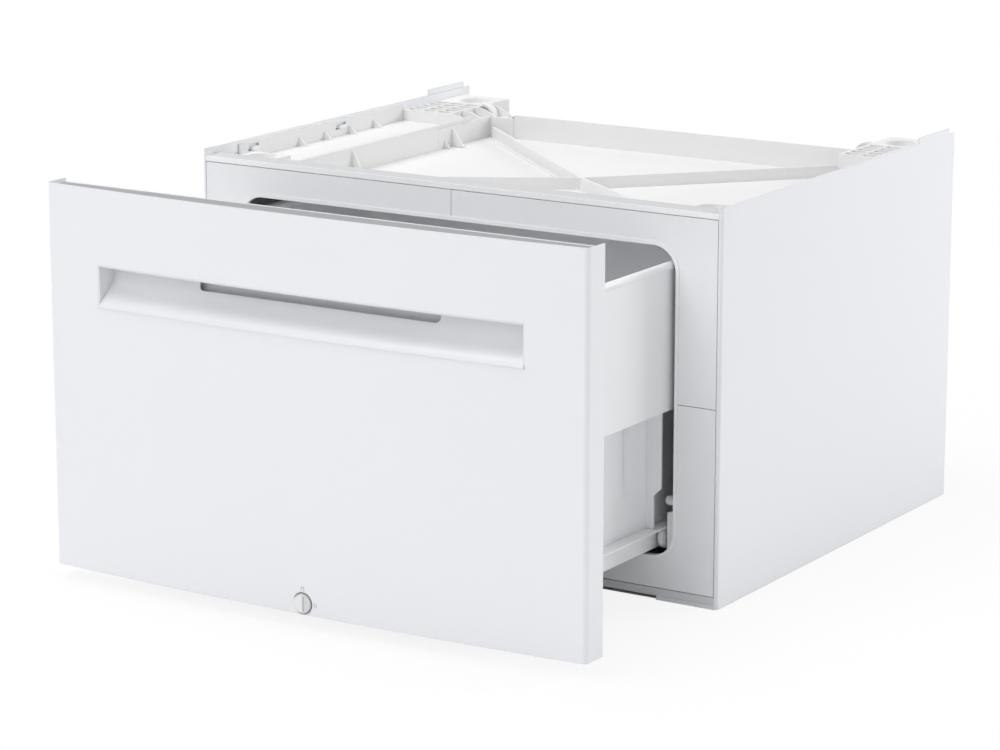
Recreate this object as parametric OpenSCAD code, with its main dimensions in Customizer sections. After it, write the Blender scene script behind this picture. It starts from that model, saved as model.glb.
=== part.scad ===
// Washer pedestal with a drawer: a sheet-steel cabinet that carries a washing machine on a
// moulded deck, and a bow-fronted drawer that rolls out of its framed opening.
// Built with X to the right, Y from front to back and Z up. Y = 0 is the cabinet's front plane.

/* [Cabinet] */
// Width over the side panels
cab_w = 598; // [580:1:620]
// Depth from the front frame to the rear flanges
cab_d = 495; // [480:1:540]
// Height of the side panels' top edge above the floor
panel_h = 388; // [380:1:420]
// Thickness of the cabinet's sheet steel
sheet = 1; // [0.8:0.1:1.2]
// Width of the rolled front edge of a side panel
hem_w = 3; // [3:0.5:4]
// Depth of the folded strip behind the rolled edge
hem_d = 14; // [10:1:18]
// Width of the flanges folded in at the rear and bottom
flange_w = 16; // [12:1:20]
// Height of the upstand at the rear of a side panel
upstand_h = 6; // [4:0.5:8]
// Length of that upstand
upstand_l = 71; // [50:1:90]
// Distance of the upstand from the rear edge
upstand_back = 12; // [6:1:20]

/* [Foot pads] */
// Width of a foot pad
pad_w = 63; // [50:1:80]
// Depth of a foot pad
pad_d = 58; // [40:1:70]
// Thickness of a foot pad
pad_h = 4.5; // [3:0.5:6]

/* [Rails] */
// Drop of the top front rail below the side panels' top edge
rail_drop = 6.5; // [5:0.5:8]
// Height of the top front rail's visible strip
rail_strip = 5.4; // [5:0.2:8]
// Depth of the top front rail
rail_d = 24.5; // [22:0.5:28]
// Height of the bottom front rail's visible strip
foot_strip = 7.6; // [6:0.2:9]
// Depth of the bottom rails and of the top rear rail's foot
low_rail_d = 42; // [36:1:50]

/* [Front frame] */
// Width of the drawer opening
open_w = 508; // [503:1:512]
// Height of the opening's lower edge above the floor
open_z = 40.4; // [39.4:0.5:41.4]
// Height of the opening
open_h = 309; // [306:0.2:311]
// Corner radius of the opening
open_r = 28; // [24:1:32]
// Wall of the frame mouldings
frame_t = 1.6; // [1.4:0.1:2]
// Depth of the frame mouldings' ribs
frame_d = 13; // [10:1:15]
// Height of the seam between the upper and lower frame mouldings
split_z = 195; // [150:1:240]
// Visible seam between two mouldings
seam = 0.6; // [0.4:0.1:0.8]
// Wall of the bezel round the opening
bezel_t = 3.8; // [3:0.1:4]
// Depth of the bezel behind the frame's face
bezel_d = 5; // [4.6:0.2:5.4]
// How far the bezel stands proud of the frame
bezel_proud = 0.8; // [0.4:0.1:1.2]

/* [Deck] */
// Height of the tray walls' top below the side panels' top edge
tray_drop = 9; // [8:0.5:10]
// Width inside the tray, which reaches further to the right than to the left
tray_w = 449.8; // [446:0.2:452]
// Distance of the tray's left wall from the middle of the cabinet
tray_side = 204.2; // [202:0.2:206]
// Distance of the tray's rear wall from the cabinet's front plane
tray_y = 392; // [380:1:400]
// Height of the tray walls
tray_wall_h = 25.5; // [24:0.5:27]
// Wall of the deck mouldings
deck_t = 2; // [1.6:0.1:2.2]
// Fall of the tray's floor towards its middle
tray_fall = 8; // [5:0.5:12]
// Height of a diagonal rib above the floor
rib_h = 12; // [8:0.5:12]
// Thickness of a diagonal rib
rib_t = 3.2; // [2:0.2:4]
// Depth of the side channels' floor below the tray walls' top
channel_drop = 11; // [10:0.5:12]
// Start of the side channels' outer wall, from the cabinet's front plane
channel_wall_y = 58; // [50:1:66]
// Spacing of the triangular gussets along a side channel
gusset_pitch = 46; // [40:1:48]
// Distance of a washer foot's centre from the middle of the cabinet
foot_x = 261; // [258:0.5:264]
// Distance of the front washer feet from the cabinet's front plane
foot_front_y = 48; // [47:0.5:50]
// Distance of the rear washer feet from the cabinet's front plane
foot_rear_y = 449; // [446:0.5:451]
// Radius of a washer foot's recess
foot_r = 16; // [14:0.5:17]
// Depth of a washer foot's recess
foot_depth = 6; // [4:0.5:7]

/* [Drawer front] */
// Width of the drawer front
front_w = 602; // [590:1:610]
// Height of the drawer front's lower edge above the floor
front_z = 13.9; // [10:0.1:16]
// Height of the drawer front
front_h = 377.5; // [374:0.5:386]
// Depth of the drawer front's side flanges
front_t = 28; // [27:0.5:30]
// Forward bow of the drawer front's face in its middle
bow = 11; // [8:0.5:13]
// Radius of the drawer front's vertical edges
front_r = 5; // [3:0.5:6]
// Drop of the top cap below the drawer front's top edge
cap_drop = 4; // [3:0.5:5]
// Gap between the closed drawer front and the frame
front_gap = 3.2; // [2.4:0.2:4]

/* [Handle and lock] */
// Width of the handle recess
grip_w = 476; // [460:2:490]
// Height of the handle recess
grip_h = 41; // [39:0.5:43]
// Height of the handle recess's lower edge above the floor
grip_z = 277; // [270:1:284]
// Distance between the recess's back and the drawer front's rear plane
grip_back = 6.3; // [5.5:0.1:7]
// Length of the slot in the recess
slot_w = 270; // [240:1:290]
// Height of the slot
slot_h = 11; // [8:0.5:12]
// Height of the slot's lower edge above the recess's lower edge
slot_up = 24; // [22:0.5:26]
// Height of the lock's axis above the floor
lock_z = 24.5; // [24:0.5:26]
// Radius of the lock knob
knob_r = 9; // [8:0.2:9.4]
// Radius of the lock's shaft
shaft_r = 3; // [2.6:0.1:3.4]
// Length of the cam's arm from the lock's axis
cam_l = 14; // [13:0.5:15]

/* [Drawer body] */
// How far the drawer is drawn out as shown
draw = 212.5; // [205:0.5:220]
// Width over the tub's upper band
tub_w = 494; // [488:0.5:494.5]
// Depth of the tub
tub_d = 437; // [425:1:445]
// Height of the tub's rim above the floor
tub_top = 331.5; // [326:0.5:333]
// Height of the upper band's lower edge above the floor
band_z = 188.5; // [170:0.5:210]
// Wall of the tub
tub_t = 2.5; // [2:0.1:3]
// Radius of the bead round the tub's rim
bead_r = 4; // [3:0.5:4.5]
// How far the bead stands proud of the tub's sides
bead_out = 2; // [0.5:0.5:3]
// Corner radius of the tub
tub_r = 30; // [24:1:36]

/* [Runners] */
// Distance between the inner faces of the two runners
runner_w = 448; // [440:0.5:450]
// Thickness of the runners' and guide rails' steel
runner_t = 1.5; // [1.2:0.1:1.6]
// Width of a runner's top flange
runner_flange = 14; // [12.5:0.5:14.5]
// Height of a runner
runner_h = 23; // [22:0.5:24]
// Width of the bracket that joins a runner to the drawer front
bracket_w = 36; // [28:1:40]
// Radius of the rollers
roller_r = 11; // [10:0.2:11.4]
// Width of the rollers
roller_w = 8.6; // [7:0.2:9]
// Height of the rollers' axes above the floor
roller_z = 59; // [58:0.2:60]
// Distance of the front rollers' axes from the cabinet's front plane
roller_y = 18; // [17:0.5:20]
// Radius of the roller pins
pin_r = 3; // [2.5:0.1:3.5]
// Radius of the side guide pegs
peg_r = 4.8; // [4:0.2:5.2]

/* [Clearances] */
// Gap between bodies that move past each other
gap = 0.3; // [0.2:0.05:0.4]
// Radial clearance of a shaft in its bore
bore_gap = 0.06; // [0.04:0.01:0.08]
// Radial clearance of a screw in its hole
screw_gap = 0.1; // [0.05:0.05:0.2]
// Radius of a screw's shank
screw_r = 2; // [1.6:0.1:2.2]
// Radius of a screw's head
head_r = 4; // [3.5:0.1:4.5]
// Clearance between the tub's rim and the rail above it
tub_head = 4; // [2:0.5:6]

/* [Hidden] */
$fn = 64;
cut = 1; // overshoot of a cutting tool

half_w = cab_w / 2;
inner_w = half_w - sheet;
rail_top = panel_h - rail_drop;
seam_top = rail_top - rail_strip;
seam_bottom = pad_h + foot_strip;
strip_in = half_w - hem_w - sheet;
frame_half = strip_in - seam;
rail_half = strip_in;
bezel_w = open_w;
pass_w = bezel_w - 2 * bezel_t;
pad_inset = 1;
low_web = 22;

tray_top = panel_h - tray_drop;
tray_floor = tray_top - tray_wall_h;
tray_left = -tray_side;
tray_right = tray_left + tray_w;
tray_front = rail_d + gap + deck_t;
tray_seam_y = 0.735 * tray_y;
corner_lap = 30;
corner_step = 4;
deck_bed = tray_floor - deck_t;
channel_floor = tray_top - channel_drop;
channel_out = inner_w - sheet - gap;
channel_base = channel_floor - deck_t;
channel_in = tray_side + deck_t + seam;
block_front = tray_y - 35;
block_rear = cab_d - 16;
block_in = foot_x - foot_r - 10;
hook_z = tray_top - 4;
hook_ys = [72, 229];
hook_l = 18;
front_y = -(draw + front_gap);
face_y = front_y - front_t;
bow_r = (pow(front_w / 2, 2) + bow * bow) / (2 * bow);
front_top = front_z + front_h;
inner_t = 2;
tub_front = front_y;
tub_rear = tub_front + tub_d;
tub_rib_pitch = 115;
band_w = tub_w - 2 * bead_out;
tub_rib_y = tub_front + 209;
tub_fin_y = tub_rib_y - 43.4;
tub_screw_x = runner_w / 3;
runner_in = runner_w / 2;
runner_out = runner_in + runner_t;
runner_under = roller_z + roller_r + gap;
runner_top = runner_under + runner_t;
tub_floor = runner_top - runner_h + 8;
roller_in = runner_out + 2.6;
roller_out = roller_in + roller_w;
rear_axle_y = tub_rear - 9;
bed_z = roller_z - roller_r - gap;
guide_web = roller_out + 3.4;
guide_lip = 4.4;
guide_foot = 6;
guide_top = runner_top + gap + 2 * runner_t;
bracket_in = roller_out + 3.7;
bracket_out = open_w / 2 - 1;
peg_l = 11.5;
strike_t = 1.5;
cam_t = 3;
head_t = 2;
knob_proud = 2.6;
bow_y = face_y - bow;
back_y = cab_d - 2 * sheet;
grip_y = front_y - grip_back;
scoop_r = grip_h * 1.04;
cam_y = -draw + frame_t + strike_t + 1;
side_z = 0.8;
mid_y = (bow_y - knob_proud + cab_d + head_t) / 2;

// A flat shape drawn in X and Z, as thick as the stretch from y0 to y1
module xz(y0, y1) { translate([0, y1, 0]) rotate([90, 0, 0]) linear_extrude(y1 - y0) children(); }
// A flat shape drawn in Y and Z, as thick as the stretch from x0 to x1
module yz(x0, x1) { translate([x0, 0, 0]) rotate([90, 0, 90]) linear_extrude(x1 - x0) children(); }
// A box between two corners
module block(a, b) { translate(a) cube([b[0] - a[0], b[1] - a[1], b[2] - a[2]]); }
// The left or right copy of a piece drawn on the right
module side(s) { mirror([s < 0 ? 1 : 0, 0, 0]) children(); }
// A pin along X, Y
module pin_x(x0, x1, y, z, r) { translate([x0, y, z]) rotate([0, 90, 0]) cylinder(h = x1 - x0, r = r); }
module pin_y(y0, y1, x, z, r) { translate([x, y0, z]) rotate([-90, 0, 0]) cylinder(h = y1 - y0, r = r); }
// A rectangle with round corners, centred on X
module round_rect(w, h, r) {
  translate([-w / 2 + r, 0]) square([w - 2 * r, h]);
  translate([-w / 2, r]) square([w, h - 2 * r]);
  for (x = [-w / 2 + r, w / 2 - r], y = [r, h - r]) translate([x, y]) circle(r = r);
}

module side_panel(s) color("whitesmoke") side(s) {
  difference() {
    block([inner_w - flange_w, back_y + sheet, side_z], [half_w, cab_d, panel_h - flange_w]);
    for (p = back_screw_spots()) pin_y(back_y - cut, cab_d + cut, p[0], p[1], screw_r + screw_gap);
  }
  translate([0, 0, side_z]) linear_extrude(panel_h - side_z) {
    translate([inner_w, hem_w]) square([sheet, cab_d - hem_w]);
    translate([strip_in, 0]) square([sheet, hem_d]);
    difference() {
      translate([half_w - hem_w, hem_w]) circle(r = hem_w);
      translate([half_w - hem_w, hem_w]) circle(r = hem_w - sheet);
      translate([0, hem_w]) square([half_w + cut, hem_w + cut]);
      translate([half_w - 3 * hem_w, -cut]) square([2 * hem_w - sheet / 2, 2 * hem_w + cut]);
    }
  }
  block([inner_w - sheet, hem_d + gap, panel_h - 12], [half_w, back_y, panel_h]);
  block([inner_w - flange_w, low_rail_d + cut, pad_h], [half_w, back_y - low_rail_d - cut, pad_h + sheet]);
  block([inner_w, cab_d - upstand_back - upstand_l, panel_h - sheet],
        [half_w, cab_d - upstand_back, panel_h + upstand_h]);
  for (y = hook_ys)
    block([channel_out - deck_t - 1.5, y + 6, hook_z + 0.6], [inner_w, y + hook_l, hook_z + 4.5]);
}

function back_screw_spots() = [for (z = [60, panel_h / 2, panel_h - 50]) [inner_w - flange_w / 2, z]];

module back_panel() color("lightgray") difference() {
  union() {
    block([-inner_w, back_y, pad_h + sheet + gap], [inner_w, back_y + sheet, panel_h - 30]);
    for (x = [-1, 1]) xz(back_y + sheet, cab_d) translate([x * cab_w / 4, 70]) round_rect(cab_w / 3, panel_h - 140, 12);
  }
  for (x = [-1, 1]) xz(back_y - cut, back_y + sheet / 2) translate([x * cab_w / 4, 72]) round_rect(cab_w / 3 - 4, panel_h - 144, 10);
  for (s = [-1, 1], p = back_screw_spots()) pin_y(back_y - cut, cab_d, s * p[0], p[1], screw_r + screw_gap);
}

module top_front_rail() color("gainsboro") {
  block([-rail_half, 0, seam_top], [rail_half, sheet, rail_top]);
  block([-rail_half, 0, rail_top - sheet], [rail_half, rail_d, rail_top]);
  block([-rail_half, rail_d - sheet, deck_bed - sheet], [rail_half, rail_d, rail_top]);
  block([-rail_half, rail_d - sheet, deck_bed - sheet], [rail_half, tray_front, deck_bed]);
}

module top_rear_rail() color("gainsboro") {
  block([-inner_w, tray_y, deck_bed - sheet], [inner_w, back_y, deck_bed]);
  for (y = [tray_y, back_y - sheet])
    block([-inner_w, y, tub_top + tub_head], [inner_w, y + sheet, deck_bed]);
}

module bottom_front_rail() color("gainsboro") {
  block([-rail_half, 0, pad_h], [rail_half, sheet, seam_bottom]);
  block([-rail_half, 0, pad_h], [rail_half, low_rail_d, pad_h + sheet]);
  block([-rail_half, low_rail_d - sheet, pad_h], [rail_half, low_rail_d, pad_h + low_web]);
}

module bottom_rear_rail() color("gainsboro") {
  block([-inner_w, back_y - low_rail_d, pad_h], [inner_w, back_y, pad_h + sheet]);
  block([-inner_w, back_y - low_rail_d, pad_h], [inner_w, back_y - low_rail_d + sheet, pad_h + low_web]);
}

module foot_pads() color("darkgray")
  for (x = [-strip_in + gap, strip_in - gap - pad_w], y = [pad_inset, back_y - pad_d - pad_inset])
    block([x, y, 0], [x + pad_w, y + pad_d, pad_h]);

// One moulding of the front frame: a face with ribs behind all its edges
module frame_part(x0, x1, z0, z1) {
  xz(0, frame_t) frame_outline(x0, x1, z0, z1, 0);
  xz(frame_t, frame_d) difference() {
    frame_outline(x0, x1, z0, z1, 0);
    frame_outline(x0, x1, z0, z1, frame_t);
  }
}
module frame_outline(x0, x1, z0, z1, inset) difference() {
  translate([x0 + inset, z0 + inset]) square([x1 - x0 - 2 * inset, z1 - z0 - 2 * inset]);
  translate([0, open_z - inset]) round_rect(open_w + 2 * inset, open_h + 2 * inset, open_r + inset);
}
// Lugs behind the face that bridge the seam to the side panels' folded strips
module frame_lugs(s, zs) side(s) for (z = zs)
  block([frame_half - frame_t, 4, z], [strip_in, 12, z + 24]);
module frame_upper(s) color("gainsboro") {
  side(s) frame_part(seam / 2, frame_half, split_z + seam / 2, seam_top - seam);
  frame_lugs(s, [split_z + 25, seam_top - 50]);
}
module frame_lower() color("gainsboro") {
  difference() {
    frame_part(-frame_half, frame_half, seam_bottom + seam, split_z - seam / 2);
    strike_slot(-cut, frame_t + cut);
  }
  for (s = [-1, 1]) frame_lugs(s, [seam_bottom + 25, split_z - 50]);
}
module strike_slot(y0, y1)
  block([-cam_l - 1.5, y0, lock_z - 5.5], [8, y1, lock_z + 5.5]);
module lock_strike() color("silver") difference() {
  block([-cam_l - 8, frame_t, lock_z - 9], [14, frame_t + strike_t, lock_z + 11]);
  strike_slot(0, frame_t + strike_t + cut);
}

module opening_bezel() color("white") translate([0, 0, open_z]) xz(-bezel_proud, bezel_d) difference() {
  round_rect(bezel_w, open_h, open_r);
  translate([0, bezel_t]) round_rect(pass_w, open_h - 2 * bezel_t, open_r - bezel_t);
}

module deck_ledge(s) color("gainsboro") side(s) {
  block([inner_w - sheet, hem_d + cut, channel_base - 20], [inner_w, block_front + 15, channel_base]);
  block([inner_w - 28, hem_d + cut + rail_d, channel_base - sheet], [inner_w, block_front + 15, channel_base]);
}

// The tray: its left, front and rear walls stand up, its right edge is a kerb under the channel
module deck_tray() color("white") {
  mid_x = (tray_left + tray_right) / 2;
  mid = (tray_front + tray_y) / 2;
  rim = [[-1, -1], [1, -1], [1, 1], [-1, 1]];
  half_tray = tray_w / 2;
  half_d = (tray_y - tray_front) / 2;
  difference() {
    block([tray_left - deck_t, tray_front - deck_t, deck_bed], [tray_right + deck_t, tray_y + deck_t, tray_floor]);
    block([tray_left, tray_front, deck_bed - cut], [tray_right, tray_y, tray_floor + cut]);
  }
  polyhedron(
    points = concat(
      [for (z = [deck_bed, tray_floor], c = rim) [mid_x + c[0] * half_tray, mid + c[1] * half_d, z]],
      [[mid_x, mid, deck_bed - tray_fall], [mid_x, mid, tray_floor - tray_fall]]),
    faces = concat(
      [for (i = [0:3]) [i, (i + 1) % 4, 8]],
      [for (i = [0:3]) [4 + (i + 1) % 4, 4 + i, 9]],
      [for (i = [0:3]) [i, 4 + i, 4 + (i + 1) % 4, (i + 1) % 4]]));
  block([tray_left - deck_t, tray_front - deck_t, deck_bed], [tray_left, tray_seam_y, tray_top]);
  xz(128, 128 + deck_t) polygon([[tray_left, tray_floor - deck_t / 2], [tray_left + 15, tray_floor - deck_t],
                                 [tray_left, tray_top - 2]]);
  block([tray_right, tray_front - deck_t, deck_bed], [tray_right + deck_t, tray_y + deck_t, channel_base]);
  block([tray_left - deck_t, tray_front - deck_t, deck_bed], [tray_right + deck_t, tray_front, tray_top]);
  block([tray_left + corner_lap, tray_y, deck_bed], [block_in - seam, tray_y + deck_t, tray_top]);
  block([block_in - seam, tray_y, deck_bed], [tray_right, tray_y + deck_t, channel_base]);
  for (c = rim) translate([mid_x, mid, 0]) rotate([0, 0, atan2(c[1] * half_d, c[0] * half_tray)])
    diagonal_rib(norm([half_d, half_tray]) - 9);
}
// Half of a diagonal rib, from the tray's middle outwards: it follows the fall of the floor
module diagonal_rib(l) {
  rise = tray_fall * l / norm([tray_y - tray_front, tray_w]) * 2;
  low = tray_floor - tray_fall;
  translate([0, rib_t / 2, 0]) rotate([90, 0, 0]) linear_extrude(rib_t)
    polygon([[0, low - deck_t / 2], [l, low + rise - deck_t / 2], [l, low + rise + rib_h], [0, low + rib_h]]);
}

// The left channel lies between two walls; the right one is open towards the tray
module side_channel(s) color("white") side(s) {
  y0 = rail_d + gap;
  y1 = block_front - gap;
  inside = s < 0 ? channel_in : tray_right + deck_t + seam;
  block([inside, y0, channel_base], [channel_out, y1, channel_floor]);
  if (s < 0) block([inside, y0, channel_base], [inside + deck_t, y1, tray_top]);
  difference() {
    block([channel_out - deck_t, channel_wall_y, channel_base], [channel_out, y1, panel_h - 3]);
    for (y = hook_ys)
      block([channel_out - deck_t - cut, y, hook_z + 0.3], [channel_out + cut, y + hook_l + gap, hook_z + 7]);
  }
  for (i = [0:3]) xz(channel_wall_y + 103 + i * gusset_pitch, channel_wall_y + 103 + i * gusset_pitch + deck_t)
    polygon([[channel_out - deck_t, channel_floor], [channel_out - deck_t - 12, channel_floor],
             [channel_out - deck_t, channel_floor + 9]]);
}

module rear_foot_block(s) color("white") side(s) {
  top = tray_top + 1;
  arch_pitch = 26;
  ring_r = top - channel_base + 2;
  difference() {
    block([block_in, block_front, channel_base], [channel_out, block_rear, top]);
    for (i = [0:2], j = [0:4]) translate([block_in + 4 + i * 19, block_front + 4 + j * 13.4, top - 8])
      cube([16, 10.4, 8 + cut]);
    translate([foot_x, foot_rear_y, top - foot_depth]) cylinder(h = foot_depth + cut, r = foot_r);
    for (i = [0:2]) pin_x(block_in - cut, block_in + 3, block_front + 14 + i * arch_pitch, channel_base + 2, 9);
    for (i = [0:2]) block([block_in - cut, block_front + 5 + i * arch_pitch, channel_base - cut],
                          [block_in + 3, block_front + 23 + i * arch_pitch, channel_base + 2]);
  }
  block([block_in, block_rear - 9, deck_bed], [channel_out, block_rear, channel_base]);
  translate([block_in, 0, channel_base]) xz(block_rear - 56, block_rear - 46) intersection() {
    difference() {
      circle(r = ring_r);
      circle(r = ring_r - 2.6);
    }
    translate([-ring_r, 0]) square(ring_r);
  }
  if (s < 0) tray_corner(top, arch_pitch);
}
// What joins the left block to the tray: a floor over the channel's width, gussets and stepped laps
module tray_corner(top, arch_pitch) {
  low_top = tray_top - corner_step;
  block([channel_in, block_front, channel_base], [block_in, block_front + 3 * arch_pitch + 6, channel_floor]);
  block([tray_side, block_front, channel_base], [channel_in, tray_y + deck_t, channel_floor]);
  for (i = [0:3]) xz(block_front + i * arch_pitch, block_front + i * arch_pitch + 2.4)
    polygon([[block_in, channel_floor], [channel_in, channel_floor], [channel_in, channel_floor + 3],
             [block_in - 12, top - 1], [block_in, top]]);
  block([tray_side, tray_seam_y + gap, tray_floor], [tray_side + deck_t, tray_y + deck_t, low_top]);
  block([tray_side - corner_lap + gap, tray_y, tray_floor], [tray_side, tray_y + deck_t, low_top]);
  xz(tray_seam_y + 27, tray_seam_y + 27 + deck_t)
    polygon([[tray_side, tray_floor], [tray_side - 16, tray_floor], [tray_side, low_top - 1]]);
  xz(tray_seam_y + 12, tray_seam_y + 12 + deck_t)
    polygon([[tray_side, tray_floor], [tray_side - 7, tray_floor], [tray_side, tray_floor + 9]]);
}

module front_foot_seat(s) color("white") side(s) difference() {
  block([foot_x - foot_r - 6, foot_front_y - foot_r - 4.5, channel_floor],
        [foot_x + foot_r + 6, foot_front_y + foot_r + 4.5, tray_top - 2]);
  translate([foot_x, foot_front_y, tray_top - 2 - foot_depth]) cylinder(h = foot_depth + cut, r = foot_r);
}

// A shelf for the rear roller, cut away round the front roller, with a flange down the side panel
module rail_support(s) color("silver") side(s) difference() {
  xz(hem_d + 0.5, back_y) {
    translate([runner_out + 2, bed_z - sheet]) square([inner_w - runner_out - 2, sheet]);
    translate([inner_w - sheet, bed_z - 30]) square([sheet, 30]);
  }
  block([0, 0, bed_z - sheet - cut], [bracket_in, roller_y + roller_r + 2, bed_z + cut]);
  for (p = bracket_screw_spots()) translate([p[0], p[1], bed_z - sheet - cut])
    cylinder(h = sheet + 2 * cut, r = screw_r + screw_gap);
}
function bracket_screw_spots() = [for (y = [4, 19]) [(bracket_in + bracket_out) / 2, roller_y + y]];

// A folded rail on the shelf: its lip reaches over the runner's flange and keeps the drawer down
module guide_rail(s) color("silver") side(s) xz(roller_y + roller_r + 16, back_y) {
  translate([guide_web, bed_z]) square([runner_t, guide_top - bed_z]);
  translate([guide_web, bed_z]) square([guide_foot, runner_t]);
  translate([guide_web - guide_lip, guide_top - runner_t]) square([guide_lip, runner_t]);
}

module roller_bracket(s) color("whitesmoke") side(s) {
  y0 = bezel_d + 1;
  y1 = frame_d + 1.5;
  y2 = roller_y + roller_r + 15;
  difference() {
    union() {
      intersection() {
        union() {
          xz(y0, y0 + 3) polygon([[bracket_in, bed_z - 3], [bracket_out, bed_z - 3],
                                  [bracket_out, bed_z + 42], [bracket_in, bed_z + 39]]);
          block([bracket_out - 2, y0, bed_z], [bracket_out, y1, peg_z() + 7]);
          block([bracket_in, y0, bed_z - 3], [bracket_in + 3, y1, bed_z + 34]);
        }
        xz(0, y1 + cut) translate([0, open_z + 1]) round_rect(open_w - 2, open_h - 2, open_r - 1);
      }
      block([bracket_out - 2, y1, bed_z], [bracket_out, y2, peg_z() + 7]);
      block([bracket_in, y1, bed_z], [bracket_in + 3, y2, bed_z + 34]);
      block([bracket_in, y1, bed_z], [bracket_out, y2, bed_z + 2]);
    }
    pin_x(bracket_in - cut, bracket_in + 4, roller_y, roller_z, pin_r + bore_gap);
    for (p = bracket_screw_spots()) translate([p[0], p[1], bed_z - cut])
      cylinder(h = 2 + 2 * cut, r = screw_r + screw_gap);
  }
}
function peg_z() = roller_z + 38;

// A roller with a bored hub and chamfered edges, seen from its axle
module roller(y) translate([roller_in, y, roller_z]) rotate([0, 90, 0]) rotate_extrude()
  polygon([[pin_r + bore_gap, 0], [roller_r - 2.5, 0], [roller_r, 1.5], [roller_r, roller_w - 1.5],
           [roller_r - 2.5, roller_w], [roller_r - 4, roller_w], [roller_r - 4.5, roller_w - 1.5],
           [pin_r + 2, roller_w - 1.5], [pin_r + 2, roller_w], [pin_r + bore_gap, roller_w]]);

module front_roller(s) color("white") side(s) roller(roller_y);
module rear_roller(s) color("white") side(s) roller(rear_axle_y);
module front_roller_pins() color("silver") for (s = [-1, 1]) side(s) {
  pin_x(roller_in - gap - 0.8, bracket_in + 3, roller_y, roller_z, pin_r);
  pin_x(roller_in - gap - 0.8, roller_in - gap, roller_y, roller_z, pin_r + 1.4);
  pin_x(roller_out + gap, bracket_in, roller_y, roller_z, pin_r + 1.4);
}
module rear_roller_pins() color("silver") for (s = [-1, 1]) side(s) {
  pin_x(runner_out, roller_out + gap + 0.8, rear_axle_y, roller_z, pin_r);
  pin_x(runner_out, roller_in - gap, rear_axle_y, roller_z, pin_r + 1.4);
  pin_x(roller_out + gap, roller_out + gap + 0.8, rear_axle_y, roller_z, pin_r + 1.4);
}
module side_guide_pegs() color("whitesmoke") for (s = [-1, 1]) side(s) {
  pin_x(bracket_out - 2 - peg_l, bracket_out - 2, roller_y - 5, peg_z(), peg_r);
  translate([bracket_out - 2 - peg_l, roller_y - 5, peg_z()]) sphere(r = peg_r);
}

module screw_y(y, x, z, l) {
  pin_y(y, y + head_t, x, z, head_r);
  pin_y(y - l, y, x, z, screw_r);
}
module back_screws() color("silver")
  for (s = [-1, 1], p = back_screw_spots()) screw_y(cab_d, s * p[0], p[1], cab_d - back_y);
module bracket_screws() color("silver") for (s = [-1, 1]) side(s) for (p = bracket_screw_spots()) {
  translate([p[0], p[1], bed_z - sheet - head_t]) cylinder(h = head_t, r = head_r);
  translate([p[0], p[1], bed_z - sheet]) cylinder(h = sheet + 2, r = screw_r);
}

// The bow-fronted plan of the drawer front, drawn in by inset on all but its rear
module front_plan(inset) {
  corner_x = front_w / 2 - front_r;
  corner_y = bow_y + bow_r - sqrt(pow(bow_r - front_r, 2) - pow(corner_x, 2));
  join_x = corner_x * bow_r / (bow_r - front_r);
  intersection() {
    translate([0, bow_y + bow_r]) circle(r = bow_r - inset, $fn = 2400);
    translate([-join_x, bow_y - cut]) square([2 * join_x, front_y - bow_y + cut]);
  }
  translate([-front_w / 2 + inset, corner_y]) square([front_w - 2 * inset, front_y - corner_y]);
  for (x = [-corner_x, corner_x]) translate([x, corner_y]) circle(r = front_r - inset);
}
module front_skin() color("ghostwhite") difference() {
  translate([0, 0, front_z]) linear_extrude(front_h) front_plan(0);
  translate([0, 0, front_z + sheet]) linear_extrude(front_h) front_plan(sheet);
  block([-grip_w / 2, bow_y - cut, grip_z], [grip_w / 2, grip_y, grip_z + grip_h]);
  pin_y(bow_y - cut, grip_y, 0, lock_z, knob_r + 1.7);
}
module front_top_cap() color("darkgray") translate([0, 0, front_top - cap_drop - 2]) linear_extrude(2)
  intersection() {
    front_plan(sheet);
    translate([-front_w, bow_y]) square([2 * front_w, front_y - inner_t - bow_y]);
  }
module front_inner_panel() color("gainsboro") difference() {
  block([-front_w / 2 + sheet, front_y - inner_t, front_z + sheet],
        [front_w / 2 - sheet, front_y, front_top - cap_drop + 0.6]);
  pin_y(front_y - inner_t - cut, front_y + cut, 0, lock_z, shaft_r + bore_gap);
  for (p = tub_screw_spots()) pin_y(front_y - inner_t - cut, front_y + cut, p[0], p[1], screw_r + screw_gap);
}

// The hollow of the handle recess, drawn in Y and Z: a flat roof over a curved back
module scoop(wall) intersection() {
  translate([bow_y - 20, grip_z - wall]) square([grip_y + wall - bow_y + 20, grip_h + 2 * wall]);
  union() {
    translate([grip_y - scoop_r, grip_z + grip_h]) circle(r = scoop_r + wall);
    translate([bow_y - 20, grip_z - wall]) square([grip_y - scoop_r - bow_y + 20, grip_h + 2 * wall]);
  }
}
module handle_recess() color("ghostwhite") difference() {
  intersection() {
    yz(-grip_w / 2 - frame_t, grip_w / 2 + frame_t) scoop(frame_t);
    translate([0, 0, front_z]) linear_extrude(front_h) front_plan(sheet);
  }
  yz(-grip_w / 2, grip_w / 2) scoop(0);
  xz(grip_y - 12, grip_y + frame_t + cut) translate([0, grip_z + slot_up]) round_rect(slot_w, slot_h, slot_h / 2.2);
}

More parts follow.
